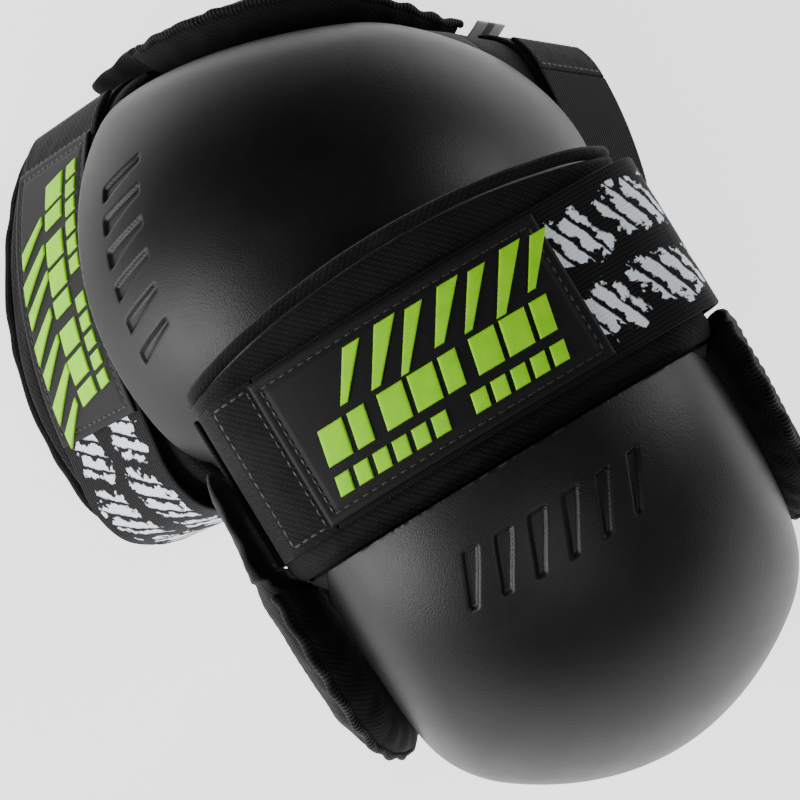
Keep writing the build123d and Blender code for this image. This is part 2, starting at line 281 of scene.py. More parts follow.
def paint(code):
    """sRGB hex colour as linear RGBA."""
    srgb = np.array([int(code[i:i + 2], 16) / 255 for i in (1, 3, 5)])
    linear = np.where(srgb <= 0.04045, srgb / 12.92, ((srgb + 0.055) / 1.055) ** 2.4)
    return (*linear.tolist(), 1.0)


def feed(tree, node, values):
    """Links a node's input where its value is a socket, and sets it where it isn't."""
    for key, value in values.items():
        if isinstance(value, bpy.types.NodeSocket):
            tree.links.new(value, node.inputs[key])
        else:
            node.inputs[key].default_value = value


def add(tree, kind, values=(), out=0, stops=(), **settings):
    """Adds a node with its settings and links, and gives one of its outputs.

    Stops are a ramp's places and hex colours.
    """
    made = tree.nodes.new("ShaderNode" + kind)
    for key, value in settings.items():
        setattr(made, key, value)
    feed(tree, made, values if isinstance(values, dict) else dict(enumerate(values)))
    for index, (position, code) in enumerate(stops):
        made.color_ramp.elements[index].position = position
        made.color_ramp.elements[index].color = paint(code)
    return made.outputs[out]


def new_material(name, build):
    """Material whose shader inputs are what build works out in its node tree."""
    material = bpy.data.materials.new(name)
    material.use_nodes = True
    tree = material.node_tree
    feed(tree, tree.nodes["Principled BSDF"], build(tree))
    return material


# A wave texture's band is 0.314 / scale of a UV unit, which is 100 mm
WAVE_MM = 31.4


def jersey(tree):
    """Neoprene faced with polyester jersey: knit columns 1.1 mm apart and soft grey lint."""
    uv = add(tree, "UVMap", uv_map="cloth")
    rib = add(tree, "TexWave", {
        "Vector": uv, "Scale": WAVE_MM / 1.1, "Distortion": 0.6, "Detail": 2.0,
        "Detail Scale": 3.0}, out="Fac")
    lint = add(tree, "TexNoise", {"Vector": uv, "Scale": 9.0, "Detail": 6.0})
    shade = add(tree, "Math", (rib, 0.35, 0.5), operation="MULTIPLY_ADD")
    total = add(tree, "Math", (shade, lint), operation="ADD")
    return {
        "Base Color": add(tree, "ValToRGB", (total,), stops=((0.35, "#060607"), (1.0, "#151518"))),
        "Roughness": 0.85, "Specular IOR Level": 0.12, "Sheen Weight": 0.03, "Sheen Roughness": 0.4,
        "Normal": add(tree, "Bump", {"Height": rib, "Strength": 0.4, "Distance": 0.4 / 1000}),
    }


KNIT = new_material("neoprene_jersey", jersey)
TUBE_GIRTH = 320.0


def sleeve(side):
    """Two skins round the leg, joined at both hems, with sine creases behind the bend."""
    q = np.concatenate([
        np.linspace(-BEND - SHIN_LENGTH, -BEND, 18)[:-1],
        np.linspace(-BEND, 0, 44)[:-1],
        np.linspace(0, THIGH_LENGTH, 20),
    ])
    around, along = np.meshgrid(np.linspace(-1, 1, 121), q)
    a = around * leg_length(along)
    behind = step((np.abs(a) - 100) / 40) * step((along + BEND + 10) / 30) * step((14 - along) / 30)
    crease = 0.8 * behind * np.sin(along / 2.9 + 0.8 * np.sin(a / 17))
    outer = leg(side, a, along, crease)
    inner = leg(side, a, along, crease - SLEEVE_WALL)
    uv = np.stack([around * TUBE_GIRTH / 2, along], axis=-1)
    hems = []
    for row, sign in ((0, 1), (-1, -1)):
        hem = np.stack([inner[row], outer[row]])
        hems.append((hem, uv[row] + np.array([[[0, -2.0]], [[0, 0]]]), sign))
    return piece(side, "sleeve", [(outer, uv, 1), (inner, uv, -1), *hems], KNIT)


for side in SIDES:
    made = sleeve(side)
    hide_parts(side + "_knee_sleeve", side + "_thigh_sleeve")
    before, after = [tuple(fold(side, 0.0, 60.0, q).tolist()) for q in (-14.0, 14.0)]
    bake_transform(made)

# --------------------------------------
# Padding.  Crescents of closed-cell foam under a cover of black nylon twill are
# sewn to the front of the sleeve, over the knee, the thigh and the shin, with
# a brushed lining inside the knee.
# --------------------------------------
KNEE_COVER_REACH = 88.6
THIGH_COVER_REACH = 93.8
LINER_REACH = 53.7
DEGREE = BEND_RADIUS * math.pi / 180
PAD_DEPTH = 11.9
COVER_DEPTH = 1.0
COVER_SET_IN = 0.35
COVER_RIPPLE = 0.3
KNEE_CROWN = 44.0
THIGH_CROWN = 50.0
STRAP_LANE = (5.0, 61.0)
CREST_FROM = 59.2
CREST_PUFF = 1.6
ARCH_CREST = 72.0
ARCH_RADIUS = 279.4


def twill(tree):
    """Nylon twill: diagonal ribs 0.8 mm apart broken up by the weft.

    Both are coarser than the thread, so that they show.
    """
    uv = add(tree, "UVMap", uv_map="cloth")
    rib = add(tree, "TexWave", {
        "Vector": uv, "Scale": WAVE_MM / 0.8 / 2 ** 0.5, "Distortion": 0.5, "Detail": 2.0,
        "Detail Scale": 6.0}, out="Fac", bands_direction="DIAGONAL")
    weft = add(tree, "TexWave", {
        "Vector": uv, "Scale": WAVE_MM, "Distortion": 1.0, "Detail": 2.0}, out="Fac", bands_direction="Y")
    weave = add(tree, "Math", (rib, weft), operation="MULTIPLY")
    wear = add(tree, "TexNoise", {
        "Vector": uv, "Scale": 4.0, "Detail": 8.0, "Roughness": 0.65})
    pucker = add(tree, "TexNoise", {"Vector": uv, "Scale": 11.0, "Detail": 2.0})
    shade = add(tree, "Math", (weave, 0.6), operation="MULTIPLY")
    total = add(tree, "Math", (shade, wear), operation="ADD")
    soft = add(tree, "Bump", {"Height": pucker, "Strength": 0.4, "Distance": 2.0 / 1000})
    return {
        "Base Color": add(tree, "ValToRGB", (total,), stops=((0.35, "#040304"), (1.15, "#1C191B"))),
        "Roughness": 0.8, "Specular IOR Level": 0.12, "Sheen Weight": 0.03, "Sheen Roughness": 0.5,
        "Normal": add(tree, "Bump", {
            "Height": weave, "Strength": 0.45, "Distance": 0.25 / 1000, "Normal": soft}),
    }


def brushed(tree):
    """Brushed polyester lining: short nap, dark grey."""
    uv = add(tree, "UVMap", uv_map="cloth")
    nap = add(tree, "TexNoise", {"Vector": uv, "Scale": 60.0, "Detail": 6.0})
    return {
        "Base Color": add(tree, "ValToRGB", (nap,), stops=((0.3, "#101011"), (0.75, "#262629"))),
        "Roughness": 0.95, "Specular IOR Level": 0.2, "Sheen Weight": 0.1,
        "Normal": add(tree, "Bump", {"Height": nap, "Strength": 0.5, "Distance": 0.6 / 1000}),
    }


TWILL = new_material("nylon_twill", twill)
LINING = new_material("brushed_lining", brushed)


def ripple(a, q, wide, long):
    """Uneven cloth between -1 and 1: two sines, each bent by the other direction."""
    round_it = np.sin(a / wide + 1.7 * np.sin(q / long))
    along_it = np.sin(q / long * 1.3 + 2 * np.sin(a / wide * 0.6))
    return 0.5 * round_it + 0.5 * along_it


def foam_floor(a, crown):
    """Inner offset of a padding: full depth over the crown, only the cover down the sides."""
    return -PAD_DEPTH + (PAD_DEPTH - COVER_DEPTH) * step((np.abs(a) - crown) / 38)


def arch(x):
    """Top edge of the thigh padding: an arc that rises from the sides to the crest."""
    return ARCH_CREST - ARCH_RADIUS + np.sqrt(ARCH_RADIUS ** 2 - x ** 2)


for side in SIDES:
    a = spread(-KNEE_COVER_REACH, KNEE_COVER_REACH, 90, 2.0)
    for part, q in (
        ("shin", spread(-BEND - SHIN_LENGTH + 0.1, -BEND - 0.4, 34, 3.0)),
        ("knee", spread(-BEND + 0.1, -0.4, 60, 2.5)),
    ):
        grid_q, grid_a = np.meshgrid(q, a, indexing="ij")
        outer = -COVER_SET_IN + COVER_RIPPLE * ripple(grid_a, grid_q, 14, 9)
        inner = foam_floor(grid_a, KNEE_CROWN)
        made = slab(side, part + "_pad", skin, grid_a, grid_q, outer, inner, 2.5, TWILL)
        fix(made, side, "knee", [part + "_foam", part + "_cover"])

    a = spread(-THIGH_COVER_REACH, THIGH_COVER_REACH, 110, 2.0)
    x = outline(a, THIGH_HALF, *PAD_SECTION)[0]
    part = spread(0.0, 1.0, 46, 0.05)[:, None]
    grid_q = FOLD_GAP + part * (arch(x) - FOLD_GAP)
    grid_a = np.broadcast_to(a, grid_q.shape)
    under_strap = step((grid_q - STRAP_LANE[0]) / 3) * step((STRAP_LANE[1] - grid_q) / 2)
    puff = (CREST_PUFF + 0.7 * ripple(grid_a, grid_q, 11, 7)) * step((grid_q - CREST_FROM) / 4)
    outer = np.where(grid_q > THIGH_LENGTH / 2, puff, 0.3) * (1 - under_strap) - 0.2
    inner = foam_floor(grid_a, THIGH_CROWN)
    made = slab(side, "thigh_pad", skin, grid_a, grid_q, outer, inner, 3.0, TWILL)
    fix(made, side, "thigh", ["thigh_foam", "thigh_cover"])

    q = spread(-BEND + 4 * DEGREE, -4 * DEGREE, 40, 0.5)
    a = spread(-LINER_REACH, LINER_REACH, 40, 0.5)
    made = slab(side, "knee_lining", leg, a, q, -SLEEVE_WALL - 0.1, -SLEEVE_WALL - 1.1, 0.5, LINING)
    fix(made, side, "knee", ["knee_liner"])

# --------------------------------------
# Piping and hem.  A cord wrapped in the same black cloth finishes the arched top
# edge of the thigh padding, and a folded band of it closes the shin end.
# --------------------------------------
PIPING_RADIUS = 2.1
PIPING_REACH = 92.0
CUFF_FROM = 66.1
CUFF_WIDTH = 4.0
CUFF_REACH = 163.2


def bead(side, name, surface, a, q, off, radius, material, fade):
    """Round cord along a line on a surface: a circle in the q and offset directions.

    Over the last fade mm at both ends the circle shrinks to a point.
    """
    turn = np.linspace(0, 2 * math.pi, 15)
    steps = np.concatenate([[0], np.cumsum(np.hypot(np.diff(a), np.diff(q)))])
    inside = np.minimum(steps, steps[-1] - steps)
    size = radius * quarter(inside / fade)[:, None]
    grid = surface(side, a[:, None], q[:, None] + size * np.cos(turn), off + size * np.sin(turn))
    uv = np.stack(np.broadcast_arrays(steps[:, None], radius * turn), axis=-1)
    return piece(side, name, [(grid, uv, 1)], material)


for side in SIDES:
    a = spread(-PIPING_REACH, PIPING_REACH, 140, PIPING_RADIUS)
    x = outline(a, THIGH_HALF, *PAD_SECTION)[0]
    lumpy = 0.25 * np.sin(a / 3.1 + np.sin(a / 7))
    made = bead(side, "top_piping", skin, a, arch(x) + PIPING_RADIUS, -1.2 + lumpy[:, None],
                PIPING_RADIUS, TWILL, PIPING_RADIUS)
    fix(made, side, "thigh", ["thigh_piping"])

    turn = np.linspace(0, 2 * math.pi, 25)[:, None]
    share = np.linspace(-1, 1, 181)
    shape = np.abs(np.cos(turn)) ** 0.6 * np.sign(np.cos(turn))
    q = -BEND - CUFF_FROM - CUFF_WIDTH / 2 * (1 - np.sin(turn))
    q, share = np.broadcast_arrays(q, share)
    outside = skin(side, share * CUFF_REACH, q, -0.4 + 0.3 * np.sin(share * 60))
    inside = leg(side, share * leg_length(q), q, -SLEEVE_WALL)
    grid = inside + (outside - inside) * (0.5 + 0.5 * shape[..., None])
    uv = np.stack([share * TUBE_GIRTH / 2, np.broadcast_to(2 * turn, share.shape)], axis=-1)
    made = piece(side, "shin_hem", [(grid, uv, 1)], TWILL)
    fix(made, side, "knee", ["shin_cuff"])

# --------------------------------------
# Side pads.  A padded twill wing stands up beside the cap on each side, from the
# bend down to the lower strap.  Its edge is bound with a gathered knit tape.
# --------------------------------------
WING_SHIN = 21.9
WING_STEP = 68.0
WING_CENTRE = (75.5, 46.0)
STRAP_SIDE = 75.1
# A wing's thigh end above the fold, the length of its rounding, and its pleats' height
MEDIAL_WING = (44.0, 14.0, 0.05)
LATERAL_WING = (7.0, 3.0, 0.22)
LATERAL_THIN = 0.72
SHIN_THIN = 0.6
THIGH_THIN = 0.35
SHIN_TUCK = 4.0
SHIN_POINT = 5.0
WING_INNER = 65.9
BINDING_AT = (79.5, 60.2)
BINDING_RADIUS = 1.4
BINDING_END = 2.0
GATHER = 13.0
PLEAT = 4.2


def binding_tape(tree):
    """Knit tape gathered round an edge: close ribs across it, slightly shiny."""
    uv = add(tree, "UVMap", uv_map="cloth")
    rib = add(tree, "TexWave", {
        "Vector": uv, "Scale": WAVE_MM / 1.4, "Distortion": 1.0, "Detail": 1.0}, out="Fac")
    return {
        "Base Color": add(tree, "ValToRGB", (rib,), stops=((0.0, "#050506"), (1.0, "#141315"))),
        "Roughness": 0.7, "Specular IOR Level": 0.15, "Sheen Weight": 0.05,
        "Normal": add(tree, "Bump", {"Height": rib, "Strength": 0.6, "Distance": 0.6 / 1000}),
    }


TAPE = new_material("knit_binding_tape", binding_tape)


def wing_profile():
    """Section of a wing: its cut corners rounded by averaging along the outline."""
    corners = np.array([
        (WING_INNER, 33.0), (79.0, 32.0), (84.0, 39.0), (85.2, 49.0), (82.0, 58.5), (77.0, 61.0),
        (71.0, 56.0), (67.6, 46.0), (67.6, 41.6), (WING_INNER, 40.6), (WING_INNER, 33.0)])
    runs = np.concatenate([[0], np.cumsum(np.linalg.norm(np.diff(corners, axis=0), axis=1))])
    at = np.linspace(0, runs[-1], 97)[:-1]
    loop = np.stack([np.interp(at, runs, corners[:, k]) for k in (0, 1)], axis=1)
    for shift in (1, 2, 3):
        loop = (2 * loop + np.roll(loop, shift, axis=0) + np.roll(loop, -shift, axis=0)) / 4
    return np.concatenate([loop, loop[:1]])


def gathers(q):
    """Waves of the gathered edge, outwards only."""
    return 0.35 + 0.35 * np.sin(q / GATHER * 2 * math.pi + 1.3 * np.sin(q / 17))


def wing_place(hand, x, q):
    """Where a wing's section point at x stands along the pad.

    Outside its step the wing thins towards the shin and the thigh, and the lateral one
    (hand 1) is thinner all along.  It follows the cap's taper inwards, keeps outside the
    tube, and beside the thigh leans over the strap.
    """
    shin_way = step((-q - 55) / 70)
    thin = 1.0 if hand < 0 else LATERAL_THIN
    reach = thin * (1 - SHIN_THIN * shin_way) * (1 - THIGH_THIN * step(q / 30))
    x = WING_STEP + (x - WING_STEP) * np.where(x > WING_STEP, reach, 1)
    x = np.maximum(x - SHIN_TUCK * shin_way, WING_INNER)
    beside = tube_half(q) - 0.3 - 0.8 * np.exp(-((q / 3) ** 2))
    beside = beside + (STRAP_SIDE - THIGH_HALF + 0.3) * step((q - 6.7) / 1.8)
    return np.maximum(x, beside + 0.55 * (x - 66) * step((q + 30) / 40))


def wing(side, hand, name):
    """A wing: its section carried along the pad, drawn in by a quarter circle at both ends."""
    end, point, pleat = LATERAL_WING if hand > 0 else MEDIAL_WING
    q = spread(-BEND - WING_SHIN, end, 170, SHIN_POINT)[:, None]
    size = quarter((q - q[0]) / SHIN_POINT) * quarter((q[-1] - q) / point)
    loop = wing_profile()
    wide = wing_place(hand, loop[:, 0], q)
    centre = wing_place(hand, np.array([WING_CENTRE[0]]), q)
    x = centre + (wide - centre) * size
    r = WING_CENTRE[1] + (loop[:, 1] - WING_CENTRE[1]) * size
    pleats = pleat * np.sin(q / PLEAT * 2 * math.pi + 1.2 * np.sin(q / 9) + np.sin(r / 5))
    outside = step((loop[:, 0] - 79) / 3)
    uneven = gathers(q) * step((r - 50) / 12) + outside * (pleats + 0.3 * ripple(r * 3, q, 10, 6))
    x = x + uneven * size
    grid = fold(side, hand * x, r, q)
    run = np.linspace(0, 84, loop.shape[0])
    uv = np.stack(np.broadcast_arrays(run, q), axis=-1)
    return piece(side, name, [(grid, uv, -hand)], TWILL)


def wing_binding(side):
    """Both tapes: a circle carried along each wing's edge, closed to a point at its ends."""
    turn = np.linspace(0, 2 * math.pi, 13)
    sheets = []
    for hand in (1, -1):
        q = spread(-BEND - WING_SHIN + 2, BINDING_END, 250, BINDING_RADIUS)[:, None]
        inside = np.minimum(q - q[0], q[-1] - q)
        size = BINDING_RADIUS * quarter(inside / BINDING_RADIUS)
        size = size * (1 + 0.1 * np.sin(q / 1.4 + np.sin(q / 5)))
        x = wing_place(hand, np.array([BINDING_AT[0]]), q) + gathers(q) + size * np.cos(turn)
        r = BINDING_AT[1] + 0.3 * np.sin(q / GATHER * 2 * math.pi) + size * np.sin(turn)
        uv = np.stack(np.broadcast_arrays(q, 2.2 * turn), axis=-1)
        sheets.append((fold(side, hand * x, r, q), uv, -hand))
    return piece(side, "wing_tapes", sheets, TAPE)


for side in SIDES:
    lateral = wing(side, 1, "side_pad_lateral")
    fix(lateral, side, "knee", ["side_panel_lateral", "side_foams"])
    medial = wing(side, -1, "side_pad_medial")
    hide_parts(side + "_side_panel_medial")
    before, after = [tuple(fold(side, -75.0, 48.0, q).tolist()) for q in (-6.0, 10.0)]
    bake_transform(medial)
    fix(wing_binding(side), side, "knee", ["edge_bindings"])

# --------------------------------------
# Cap cushion.  A block of EVA foam fills the dome, cut to the knee below it.  A
# loop panel glued on its crown meets two hook pads inside the cap.
# --------------------------------------
CAP_RISE = 7.0
CAP_SECTION = (69.0, 97.0, 15.0, 90.0, 38.0, 16.0)
CAP_SLIM = 0.966
CAP_TAPER = 0.14
LINING_GAP = 5.0
CUSHION_RIM = 44.0
CUSHION_REACH = 76.0
CUSHION_FOOT = 65.0


def eva(tree):
    """Closed-cell EVA: charcoal, with fine cells."""
    place_at = add(tree, "TexCoord", out="Object")
    cells = add(tree, "TexVoronoi", {"Vector": place_at, "Scale": 900.0})
    return {
        "Base Color": add(tree, "ValToRGB", (cells,), stops=((0.0, "#2E2E31"), (0.8, "#1C1C1E"))),
        "Roughness": 0.9,
        "Normal": add(tree, "Bump", {"Height": cells, "Strength": 0.4, "Distance": 0.3 / 1000}),
    }


def hook_tape(tree):
    """Moulded nylon hook tape: rows of hooks 1.5 mm apart."""
    place_at = add(tree, "TexCoord", out="Object")
    hooks = add(tree, "TexVoronoi", {"Vector": place_at, "Scale": 700.0})
    return {
        "Base Color": add(tree, "ValToRGB", (hooks,), stops=((0.0, "#2B2B2C"), (0.7, "#0C0C0D"))),
        "Roughness": 0.5,
        "Normal": add(tree, "Bump", {"Height": hooks, "Strength": 0.9, "Distance": 0.8 / 1000}),
    }


def loop_pile(tree):
    """Brushed loop pile: soft fuzz with lighter broken loops."""
    place_at = add(tree, "TexCoord", out="Object")
    fuzz = add(tree, "TexNoise", {
        "Vector": place_at, "Scale": 1400.0, "Detail": 6.0, "Roughness": 0.7})
    return {
        "Base Color": add(tree, "ValToRGB", (fuzz,), stops=((0.35, "#0A0A0B"), (0.75, "#29292C"))),
        "Roughness": 0.95, "Specular IOR Level": 0.15, "Sheen Weight": 0.15, "Sheen Roughness": 0.3,
        "Normal": add(tree, "Bump", {"Height": fuzz, "Strength": 0.9, "Distance": 1.2 / 1000}),
    }


FOAM = new_material("eva_foam", eva)
HOOK = new_material("nylon_hook_tape", hook_tape)
LOOP = new_material("brushed_loop_pile", loop_pile)


def dome(side, w, angle, off=0.0):
    """Cap surface: arc w across it, turned by angle about an axis 7 mm above the bend.

    Towards the shin it narrows by a smooth step of the distance past the crown.
    """
    x, r = outline(w, *CAP_SECTION, off)
    y = r * np.sin(angle)
    x = x * (CAP_SLIM - CAP_TAPER * step((-y - 20) / 62))
    return place(side, x, y, CAP_RISE + r * np.cos(angle))


def dome_span(w, off, rim):
    """First and last angle of the dome at arc w: its rim plane, and the fold above it."""
    r = outline(w, *CAP_SECTION, off)[1]
    down = np.arccos(np.clip((rim - CAP_RISE) / r, -1, 1))
    up = THIGH_SLOPE + np.arcsin((CAP_RISE * math.sin(THIGH_SLOPE) - 0.6) / r)
    return -down, np.minimum(up, down)


def cushion(side):
    """Foam between the dome's lining and the knee cover, with straight cut sides."""
    share = np.linspace(-1, 1, 61)
    part = np.linspace(0, 1, 61)[:, None]
    w = share * CUSHION_REACH
    low, high = dome_span(w, -LINING_GAP, CUSHION_RIM)
    top = dome(side, w, low + part * (high - low), -LINING_GAP)
    a = share * CUSHION_FOOT
    r = outline(a, KNEE_HALF, *PAD_SECTION, 0.1)[1]
    first = -np.arccos(CUSHION_RIM / r)
    angle = first + part * (THIGH_SLOPE - 0.01 - first)
    bottom = skin(side, a, (angle - THIGH_SLOPE) * BEND_RADIUS, 0.1)
    uv = np.stack(np.broadcast_arrays(w, part * 150), axis=-1)
    walls = []
    for index, sign in ((0, 1), (-1, -1)):
        walls.append((np.stack([bottom[index], top[index]]), uv[index], sign))
        walls.append((np.stack([bottom[:, index], top[:, index]], axis=1), uv[:, [index, index]], sign))
    return piece(side, "cap_cushion", [(top, uv, 1), (bottom, uv, -1), *walls], FOAM)


for side in SIDES:
    fix(cushion(side), side, "knee", ["knee_shell_foam"])
    for node, finish in (("cap_hook_pads", HOOK), ("knee_loop_panel", LOOP)):
        kept = frame["nodes"][side + "_" + node]
        kept.data.materials.clear()
        kept.data.materials.append(finish)

# --------------------------------------
# Hard cap.  One injection-moulded ABS shell, 3 mm thick, with a fine pebbled
# grain and a plain row of slanted grooves under its top edge.
# --------------------------------------
CAP_WALL = 3.0
CAP_RIM = 42.0
GROOVES = 6
GROOVE_PITCH = 11.4
GROOVE_DEPTH = 1.1
GROOVE_DOWN = 25.0
GROOVE_LENGTH = 17.0
FLAT_REACH = 44.0
RIM_ROUND = 4.0


def pebbled_abs(tree):
    """Moulded ABS: 0.5 mm pebble grain, semi-matt, scuffed a little paler in places."""
    place_at = add(tree, "TexCoord", out="Object")
    pebble = add(tree, "TexVoronoi", {"Vector": place_at, "Scale": 2200.0}, feature="SMOOTH_F1")
    fine = add(tree, "TexNoise", {"Vector": place_at, "Scale": 2200.0, "Detail": 3.0})
    scuff = add(tree, "TexNoise", {
        "Vector": place_at, "Scale": 35.0, "Detail": 8.0, "Roughness": 0.7})
    under = add(tree, "Bump", {"Height": fine, "Strength": 0.25, "Distance": 0.15 / 1000})
    rough = add(tree, "Math", (scuff, 0.22, 0.32), operation="MULTIPLY_ADD")
    return {
        "Base Color": add(tree, "ValToRGB", (scuff,), stops=((0.35, "#050505"), (0.8, "#0C0C0D"))),
        "Roughness": rough, "IOR": 1.53, "Specular IOR Level": 0.24,
        "Normal": add(tree, "Bump", {
            "Height": pebble, "Strength": 0.3, "Distance": 0.15 / 1000, "Normal": under}),
    }


ABS = new_material("pebbled_abs", pebbled_abs)


def groove(w, down):
    """Depth of the slanted grooves: bars that narrow from one end of the row to the other."""
    lane = (w + 0.5 * (down - GROOVE_DOWN)) / GROOVE_PITCH + (GROOVES - 1) / 2
    number = np.clip(np.round(lane), 0, GROOVES - 1)
    half = 3.0 - 0.32 * np.abs(number - 1.5)
    half = half * (1 - 0.45 * step((down - GROOVE_DOWN) / GROOVE_LENGTH + 0.5))
    across = np.abs(lane - number) * GROOVE_PITCH
    ends = np.abs(down - GROOVE_DOWN) - GROOVE_LENGTH / 2
    return GROOVE_DEPTH * step((half + 0.4 - across) / 0.8) * step(0.5 - ends / 0.9)


def cap(side):
    """The dome's outer skin, from its rim on one side wall to its rim on the other.

    The rows are closest where the grooves are, and crowd together at the rim.
    """
    _, shoulder, ends = runs_round(*CAP_SECTION)
    reach = ends[1] + shoulder - (CAP_RIM - CAP_RISE)
    edge = FLAT_REACH + (reach - FLAT_REACH) * np.sin(np.linspace(0, math.pi / 2, 46))
    w = np.concatenate([-edge[::-1], np.linspace(-FLAT_REACH, FLAT_REACH, 146)[1:-1], edge])
    low, high = dome_span(w, 0.0, CAP_RIM)
    crown = CAP_SECTION[1] * (high - low)[w.size // 2]
    fine = np.concatenate([
        np.linspace(0, 14, 14)[:-1], np.linspace(14, 37, 40)[:-1],
        np.linspace(37, crown - RIM_ROUND, 74)[:-1],
        crown - RIM_ROUND * np.cos(np.linspace(0, math.pi / 2, 6))])
    part = 1 - (fine / crown)[::-1, None]
    angle = low + part * (high - low)
    down = (high - angle) * CAP_SECTION[1]
    grid = dome(side, w, angle, -groove(w, down))
    uv = np.stack(np.broadcast_arrays(w, -down), axis=-1)
    return piece(side, "cap_shell", [(grid, uv, 1)], ABS)


for side in SIDES:
    made = cap(side)
    wall = made.modifiers.new("wall", "SOLIDIFY")
    wall.thickness = CAP_WALL / 1000
    wall.offset = -1
    wall.use_even_offset = False
    edge = made.modifiers.new("rim", "BEVEL")
    edge.width = 0.0007
    edge.segments = 2
    edge.limit_method = "ANGLE"
    edge.angle_limit = math.radians(60)
    fix(made, side, "knee", ["cap"])

# --------------------------------------
# Straps.  Woven elastic with a printed stroke pattern is sewn round the back of
# the thigh and the shin, and closes over the front with a hook tab on a loop panel.
# --------------------------------------
STRAP = 1.8
STRAP_ROUND = 0.7
STRAP_LIFT = 0.1
FRONT_LIFT = 1.5
UPPER_FROM, UPPER_WIDTH = 8.0, 50.8
LOWER_FROM, LOWER_WIDTH = 27.57, 38.1
PRINT_END = 240.0
PRINT_HALF = 21.5
ROW = 22.5
BUNCH = 21.0
STROKE = 5.25


def from_middle(tree, place_at, pitch_mm):
    """Distance from the middle of the cell, in cells this many mm apart: 0 to a half."""
    cells = add(tree, "Math", (place_at, pitch_mm / 100), operation="DIVIDE")
    within = add(tree, "Math", (cells,), operation="FRACT")
    centred = add(tree, "Math", (within, 0.5), operation="SUBTRACT")
    return add(tree, "Math", (centred,), operation="ABSOLUTE")


def elastic(tree):
    """Woven elastic: ribs 1.3 mm apart along it, printed with bluish-white dry-brush strokes.

    The strokes are 5.2 mm apart in bunches 21 mm apart, in two rows, the second row set
    on by half a bunch.  Noise frays their edges.
    """
    uv = add(tree, "UVMap", uv_map="cloth")
    along, across = [add(tree, "SeparateXYZ", (uv,), out=way) for way in "XY"]
    rib = add(tree, "TexWave", {
        "Vector": uv, "Scale": WAVE_MM / 1.3}, out="Fac", bands_direction="Y")
    weft = add(tree, "TexWave", {
        "Vector": uv, "Scale": WAVE_MM}, out="Fac", bands_direction="X")
    weave = add(tree, "Math", (weft, 0.4, rib), operation="MULTIPLY_ADD")
    brush = add(tree, "TexNoise", {
        "Vector": uv, "Scale": 22.0, "Detail": 4.0, "Roughness": 0.6})
    wobble = add(tree, "Math", (brush, 0.5), operation="SUBTRACT")
    row = add(tree, "Math", (across, ROW / 100), operation="DIVIDE")
    row = add(tree, "Math", (row,), operation="FLOOR")
    slant = add(tree, "Math", (across, 0.42, along), operation="MULTIPLY_ADD")
    slant = add(tree, "Math", (row, BUNCH / 200, slant), operation="MULTIPLY_ADD")
    slant = add(tree, "Math", (wobble, 0.05, slant), operation="MULTIPLY_ADD")
    bunch = from_middle(tree, slant, BUNCH)
    stroke = from_middle(tree, slant, STROKE)
    tall = add(tree, "Math", (wobble, from_middle(tree, across, ROW)), operation="SUBTRACT")
    tall = add(tree, "Math", (tall, 0.37), operation="ADD")
    tall = add(tree, "Math", (bunch, -0.25, tall), operation="MULTIPLY_ADD")
    ink = add(tree, "Math", (tall, 30.0), operation="MULTIPLY", use_clamp=True)
    for field, limit, sharp in ((bunch, 0.4, 30.0), (stroke, 0.38, 12.0)):
        edge = add(tree, "Math", (limit, field), operation="SUBTRACT")
        edge = add(tree, "Math", (wobble, 0.5, edge), operation="MULTIPLY_ADD")
        edge = add(tree, "Math", (edge, sharp), operation="MULTIPLY", use_clamp=True)
        ink = add(tree, "Math", (ink, edge), operation="MULTIPLY")
    aside = add(tree, "Math", (across,), operation="ABSOLUTE")
    for field, limit in ((aside, PRINT_HALF), (along, PRINT_END)):
        printed = add(tree, "Math", (field, limit / 100), operation="LESS_THAN")
        ink = add(tree, "Math", (ink, printed), operation="MULTIPLY")
    cloth = add(tree, "ValToRGB", (weave,), stops=((0.2, "#050506"), (1.3, "#151517")))
    # A colour Mix has its factor at socket 0 and its two colours at 6 and 7
    values = {0: ink, 6: cloth, 7: paint("#E4ECF4")}
    return {
        "Base Color": add(tree, "Mix", values, out=2, data_type="RGBA"),
        "Roughness": 0.72, "Specular IOR Level": 0.12, "Sheen Weight": 0.02,
        "Normal": add(tree, "Bump", {"Height": weave, "Strength": 0.5, "Distance": 0.4 / 1000}),
    }


def plain_elastic(tree):
    """The same elastic without the print."""
    uv = add(tree, "UVMap", uv_map="cloth")
    rib = add(tree, "TexWave", {
        "Vector": uv, "Scale": WAVE_MM / 1.3}, out="Fac", bands_direction="Y")
    lint = add(tree, "TexNoise", {"Vector": uv, "Scale": 14.0, "Detail": 6.0})
    shade = add(tree, "Math", (rib, 0.5, lint), operation="MULTIPLY_ADD")
    return {
        "Base Color": add(tree, "ValToRGB", (shade,), stops=((0.3, "#050506"), (1.2, "#161618"))),
        "Roughness": 0.78, "Specular IOR Level": 0.12,
        "Normal": add(tree, "Bump", {"Height": rib, "Strength": 0.5, "Distance": 0.4 / 1000}),
    }


ELASTIC = new_material("printed_elastic", elastic)
PLAIN = new_material("plain_elastic", plain_elastic)


def rebased(surface, middle):
    """The same surface with q counted from the middle of a strap."""
    return lambda side, a, q, off: surface(side, a, middle + q, off)


def slack(a, strap):
    """How far the elastic stands off the pad near its sewn side, as a bell over the hinge."""
    return strap["slack"] * np.exp(-(((a - strap["hinge"] + 6) / 24) ** 2))


